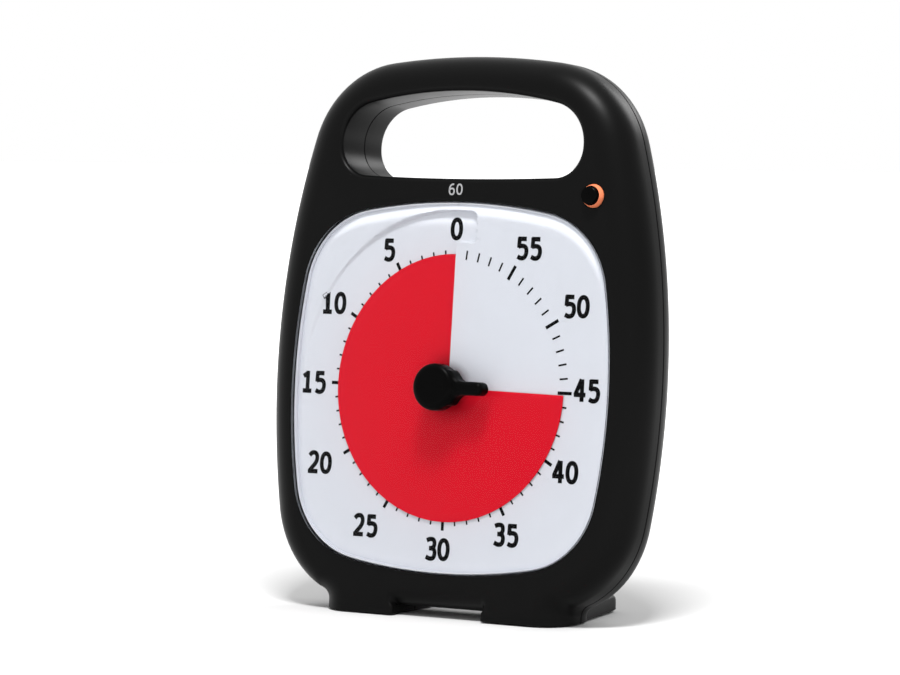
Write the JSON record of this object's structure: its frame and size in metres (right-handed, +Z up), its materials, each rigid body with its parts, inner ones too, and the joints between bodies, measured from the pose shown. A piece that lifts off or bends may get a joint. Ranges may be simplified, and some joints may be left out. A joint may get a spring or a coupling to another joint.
{
  "type": "visual countdown timer",
  "caption": "Tabletop visual countdown timer with a carry handle: a red disc behind a clear lens shrinks as the time runs out.",
  "frame": {"origin": "middle of the bounding box on the surface that the timer stands on", "axes": "+Z up, the dial faces -Y and leans back 5.5 degrees, +X to the right seen from the front"},
  "size_m": [0.1394, 0.051, 0.1754],
  "materials": {
    "housing": "satin moulded",
    "lens": "clear polished",
    "dial": "smooth matt",
    "disc": "satin film",
    "knob": "satin moulded",
    "steel": "plated",
    "brass": "stamped",
    "gear": "moulded",
    "magnet": "sintered",
    "iron": "laminated",
    "copper": "enamelled winding",
    "case": "moulded",
    "ring": "moulded",
    "control": "moulded",
    "board": "lacquered laminate",
    "parts": "moulded",
    "speaker": "painted",
    "cell": "wrapped",
    "pad": "matt"
  },
  "bodies": {
    "housing": {"front_housing": "housing", "rear_housing": "housing", "clear_lens": "lens", "dial_plate": "dial", "stator": "iron", "drive_coil": "copper", "coil_core": "iron", "movement_front": "case", "movement_back": "case", "movement_screws": "steel", "dial_screws": "steel", "housing_screws": "steel", "volume_ring": "ring", "volume_control": "control", "circuit_board": "board", "board_parts": "parts", "board_screws": "steel", "speaker": "speaker", "battery_cell": "cell", "contact_plate": "steel", "contact_spring": "steel", "foot_pads": "pad"},
    "knob": {"set_knob": "knob", "centre_shaft": "steel", "clutch_spring": "brass"},
    "disc": {"red_disc": "disc", "disc_hub": "disc"},
    "rotor": {"rotor": "magnet"},
    "first_wheel": {"first_wheel": "gear"},
    "second_wheel": {"second_wheel": "gear"},
    "third_wheel": {"third_wheel": "gear"},
    "centre_wheel": {"centre_wheel": "brass"},
    "volume": {"volume_cap": "knob"},
    "door": {"battery_door": "housing", "door_screw": "steel"}
  },
  "joints": [
    {"name": "knob_turn", "type": "hinge", "parent": "housing", "child": "knob", "pos_m": [0, -0.01654, 0.07217], "axis": [0, -0.9954, 0.0958], "range_deg": [-270, 90]},
    {"name": "disc_rise", "type": "slide", "parent": "knob", "child": "disc", "axis": [0, -0.9954, 0.0958], "range_m": [-0.0012, 0.0004]},
    {"name": "rotor_spin", "type": "hinge", "parent": "housing", "child": "rotor", "pos_m": [0.00112, -0.00821, 0.05437], "axis": [0, -0.9954, 0.0958], "continuous": true},
    {"name": "first_spin", "type": "hinge", "parent": "housing", "child": "first_wheel", "pos_m": [-0.00597, -0.00809, 0.05562], "axis": [0, -0.9954, 0.0958], "continuous": true},
    {"name": "second_spin", "type": "hinge", "parent": "housing", "child": "second_wheel", "pos_m": [-0.01386, -0.00781, 0.05848], "axis": [0, -0.9954, 0.0958], "continuous": true},
    {"name": "third_spin", "type": "hinge", "parent": "housing", "child": "third_wheel", "pos_m": [-0.0124, -0.00702, 0.06671], "axis": [0, -0.9954, 0.0958], "continuous": true},
    {"name": "centre_spin", "type": "hinge", "parent": "housing", "child": "centre_wheel", "pos_m": [0, -0.00659, 0.07121], "axis": [0, -0.9954, 0.0958], "continuous": true},
    {"name": "volume_turn", "type": "hinge", "parent": "housing", "child": "volume", "pos_m": [0.0495, -0.01071, 0.13269], "axis": [0, -0.9954, 0.0958], "range_deg": [-135, 135]},
    {"name": "door_slide", "type": "slide", "parent": "housing", "child": "door", "axis": [0, 0.9954, -0.0958], "range_m": [0, 0.02]}
  ],
  "couplings": [
    {"joint": "disc_rise", "follows": "knob_turn", "m_per_rad": 0.00025465},
    {"joint": "first_spin", "follows": "rotor_spin", "ratio": -0.2},
    {"joint": "second_spin", "follows": "rotor_spin", "ratio": 0.033333},
    {"joint": "third_spin", "follows": "rotor_spin", "ratio": -0.0055556},
    {"joint": "centre_spin", "follows": "rotor_spin", "ratio": 0.00055556}
  ]
}
